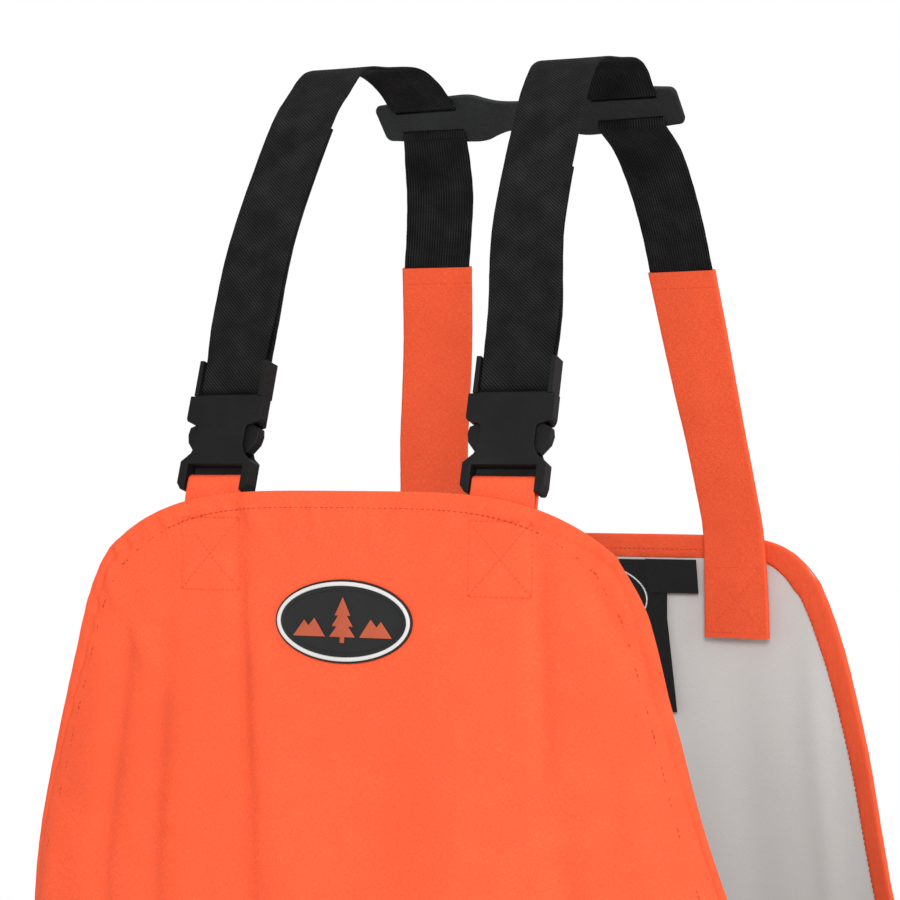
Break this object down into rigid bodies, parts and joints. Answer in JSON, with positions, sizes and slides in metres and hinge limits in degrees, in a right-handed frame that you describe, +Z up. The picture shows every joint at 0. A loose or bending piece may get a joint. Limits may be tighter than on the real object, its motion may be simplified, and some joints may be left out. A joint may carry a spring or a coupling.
{
  "type": "chainsaw bib and brace trousers",
  "caption": "Bib and brace chainsaw trousers in coated hi-vis cloth, with elastic braces, side-release buckles, a moulded back yoke and cut-resistant leg pads.",
  "frame": {"origin": "midway between the two brace crests, on their undersides, where the garment hangs on the shoulders", "axes": "+X the viewer's right from the front, +Y from the bib to the back panel, +Z up"},
  "size_m": [0.5006, 0.336, 1.4107],
  "materials": {
    "orange_cloth": "matte coated weave",
    "pad_fibre": "felted fibre",
    "lining_cloth": "smooth",
    "black_elastic": "ribbed webbing",
    "black_plastic": "fine grain",
    "badge_rubber": "matt",
    "badge_ring": "satin",
    "badge_mark": "satin",
    "black_label": "woven satin"
  },
  "bodies": {
    "garment": {"bib_front_panel": "orange_cloth", "back_panel": "orange_cloth", "bib_edge_facing": "orange_cloth", "back_edge_facing": "orange_cloth", "left_front_leg": "orange_cloth", "right_front_leg": "orange_cloth", "left_back_leg": "orange_cloth", "right_back_leg": "orange_cloth", "left_leg_pad": "pad_fibre", "right_leg_pad": "pad_fibre", "left_pad_lining": "lining_cloth", "right_pad_lining": "lining_cloth", "left_leg_cuff": "orange_cloth", "right_leg_cuff": "orange_cloth", "left_elastic_brace": "black_elastic", "right_elastic_brace": "black_elastic", "left_back_strap": "orange_cloth", "right_back_strap": "orange_cloth", "left_buckle_tab": "orange_cloth", "right_buckle_tab": "orange_cloth", "left_buckle_body": "black_plastic", "right_buckle_body": "black_plastic", "badge_plate": "badge_rubber", "badge_rim": "badge_ring", "badge_emblem": "badge_mark", "neck_label": "black_label", "size_flag": "black_label"},
    "back_yoke": {"back_yoke": "black_plastic"},
    "left_latch": {"left_buckle_latch": "black_plastic", "left_brace_tail": "black_elastic"},
    "left_outer_arm": {"left_outer_latch_arm": "black_plastic"},
    "left_inner_arm": {"left_inner_latch_arm": "black_plastic"},
    "right_latch": {"right_buckle_latch": "black_plastic", "right_brace_tail": "black_elastic"},
    "right_outer_arm": {"right_outer_latch_arm": "black_plastic"},
    "right_inner_arm": {"right_inner_latch_arm": "black_plastic"}
  },
  "joints": [
    {"name": "yoke_slide", "type": "slide", "parent": "garment", "child": "back_yoke", "axis": [0, 0.7071, -0.7071], "range_m": [-0.01, 0.01], "deforming": ["left_elastic_brace", "right_elastic_brace"]},
    {"name": "left_buckle_release", "type": "slide", "parent": "garment", "child": "left_latch", "axis": [0.0178, 0.2918, 0.9563], "range_m": [0, 0.04], "deforming": ["left_elastic_brace", "left_outer_latch_arm", "left_inner_latch_arm"]},
    {"name": "left_outer_arm_squeeze", "type": "hinge", "parent": "left_latch", "child": "left_outer_arm", "pos_m": [-0.09771, -0.13525, -0.19361], "axis": [-0.0584, -0.9545, 0.2924], "range_deg": [0, 8], "stiffness_Nm_per_rad": 0.05},
    {"name": "left_inner_arm_squeeze", "type": "hinge", "parent": "left_latch", "child": "left_inner_arm", "pos_m": [-0.07036, -0.13692, -0.19361], "axis": [0.0584, 0.9545, -0.2924], "range_deg": [0, 8], "stiffness_Nm_per_rad": 0.05},
    {"name": "right_buckle_release", "type": "slide", "parent": "garment", "child": "right_latch", "axis": [-0.0178, 0.2918, 0.9563], "range_m": [0, 0.04], "deforming": ["right_elastic_brace", "right_outer_latch_arm", "right_inner_latch_arm"]},
    {"name": "right_outer_arm_squeeze", "type": "hinge", "parent": "right_latch", "child": "right_outer_arm", "pos_m": [0.09771, -0.13525, -0.19361], "axis": [-0.0584, 0.9545, -0.2924], "range_deg": [0, 8], "stiffness_Nm_per_rad": 0.05},
    {"name": "right_inner_arm_squeeze", "type": "hinge", "parent": "right_latch", "child": "right_inner_arm", "pos_m": [0.07036, -0.13692, -0.19361], "axis": [0.0584, -0.9545, 0.2924], "range_deg": [0, 8], "stiffness_Nm_per_rad": 0.05}
  ],
  "couplings": [
    {"joint": "left_inner_arm_squeeze", "follows": "left_outer_arm_squeeze", "ratio": 1},
    {"joint": "right_inner_arm_squeeze", "follows": "right_outer_arm_squeeze", "ratio": 1}
  ]
}
